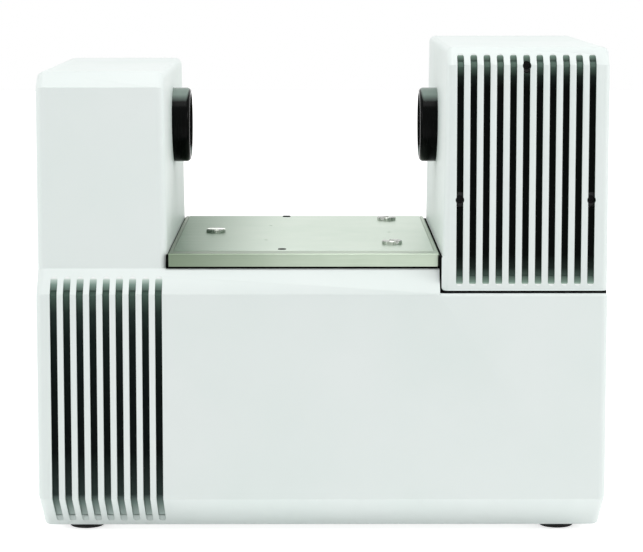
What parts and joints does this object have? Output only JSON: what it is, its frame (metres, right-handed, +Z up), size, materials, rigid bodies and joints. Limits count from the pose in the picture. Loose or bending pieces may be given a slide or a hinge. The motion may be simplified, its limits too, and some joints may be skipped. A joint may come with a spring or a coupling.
{
  "type": "ftir spectrometer",
  "caption": "Benchtop infrared spectrometer: vented white body, a tower and a detector module on either side of an open sample tray with black port rings.",
  "frame": {"origin": "on the table under the middle of the footprint", "axes": "+X to the right seen from the front, +Y to the back, +Z up"},
  "size_m": [0.436, 0.2803, 0.38],
  "materials": {
    "white_cover": "satin",
    "stainless": "brushed",
    "black_metal": "gloss",
    "black_plastic": "matte",
    "rubber": "matte",
    "window": "polished",
    "steel_sheet": "satin",
    "brass": "satin",
    "aluminium": "machined",
    "mirror": "polished",
    "steel": "satin",
    "ceramic": "matte",
    "board": "satin"
  },
  "bodies": {
    "chassis": {"accessory_plate": "stainless", "base_pan": "steel_sheet", "beamsplitter": "window", "board_spacers": "aluminium", "body_screen": "black_metal", "desiccant_canister": "steel", "detector": "steel", "detector_bracket": "steel_sheet", "detector_mirror": "mirror", "feet": "rubber", "fold_mirror_lower": "mirror", "fold_mirror_upper": "mirror", "foot_screws": "stainless", "inlet_pins": "brass", "ir_emitter": "ceramic", "isolators": "rubber", "kinematic_seats": "stainless", "laser_clamp": "aluminium", "lower_mirror_mount": "aluminium", "magnet_bracket": "aluminium", "main_board": "board", "main_cover": "white_cover", "module_cover": "white_cover", "module_frame": "steel_sheet", "module_screen": "black_metal", "module_screws": "black_metal", "module_seat": "steel_sheet", "network_jack": "black_plastic", "optics_base": "aluminium", "pivot_clip": "stainless", "pivot_shaft": "stainless", "plate_posts": "stainless", "port_ring_left": "black_metal", "port_ring_right": "black_metal", "port_windows": "window", "power_inlet": "black_plastic", "power_supply": "steel_sheet", "power_switch_housing": "black_plastic", "preamp_board": "board", "preamp_spacers": "aluminium", "rear_panel": "steel_sheet", "reference_laser": "steel", "sample_tray": "stainless", "source_heat_sink": "black_metal", "source_housing": "aluminium", "source_mirror": "mirror", "splitter_mount": "aluminium", "tower_bracket": "steel_sheet", "tower_cover": "white_cover", "upper_mirror_mount": "aluminium", "voice_coil_magnet": "steel", "window_retainers": "black_metal"},
    "power_rocker": {"power_rocker": "black_plastic"},
    "scan_arm": {"scan_arm": "aluminium", "corner_cube_left": "mirror", "corner_cube_rear": "mirror", "pivot_bearings": "stainless", "voice_coil": "black_plastic"}
  },
  "joints": [
    {"name": "power_rocker_tilt", "type": "hinge", "parent": "chassis", "child": "power_rocker", "pos_m": [-0.128, 0.133, 0.058], "axis": [1, 0, 0], "range_deg": [-8, 8]},
    {"name": "scan_arm_swing", "type": "hinge", "parent": "chassis", "child": "scan_arm", "pos_m": [0.11, -0.0665, 0.086], "axis": [0, 0, 1], "range_deg": [-3, 3]}
  ]
}
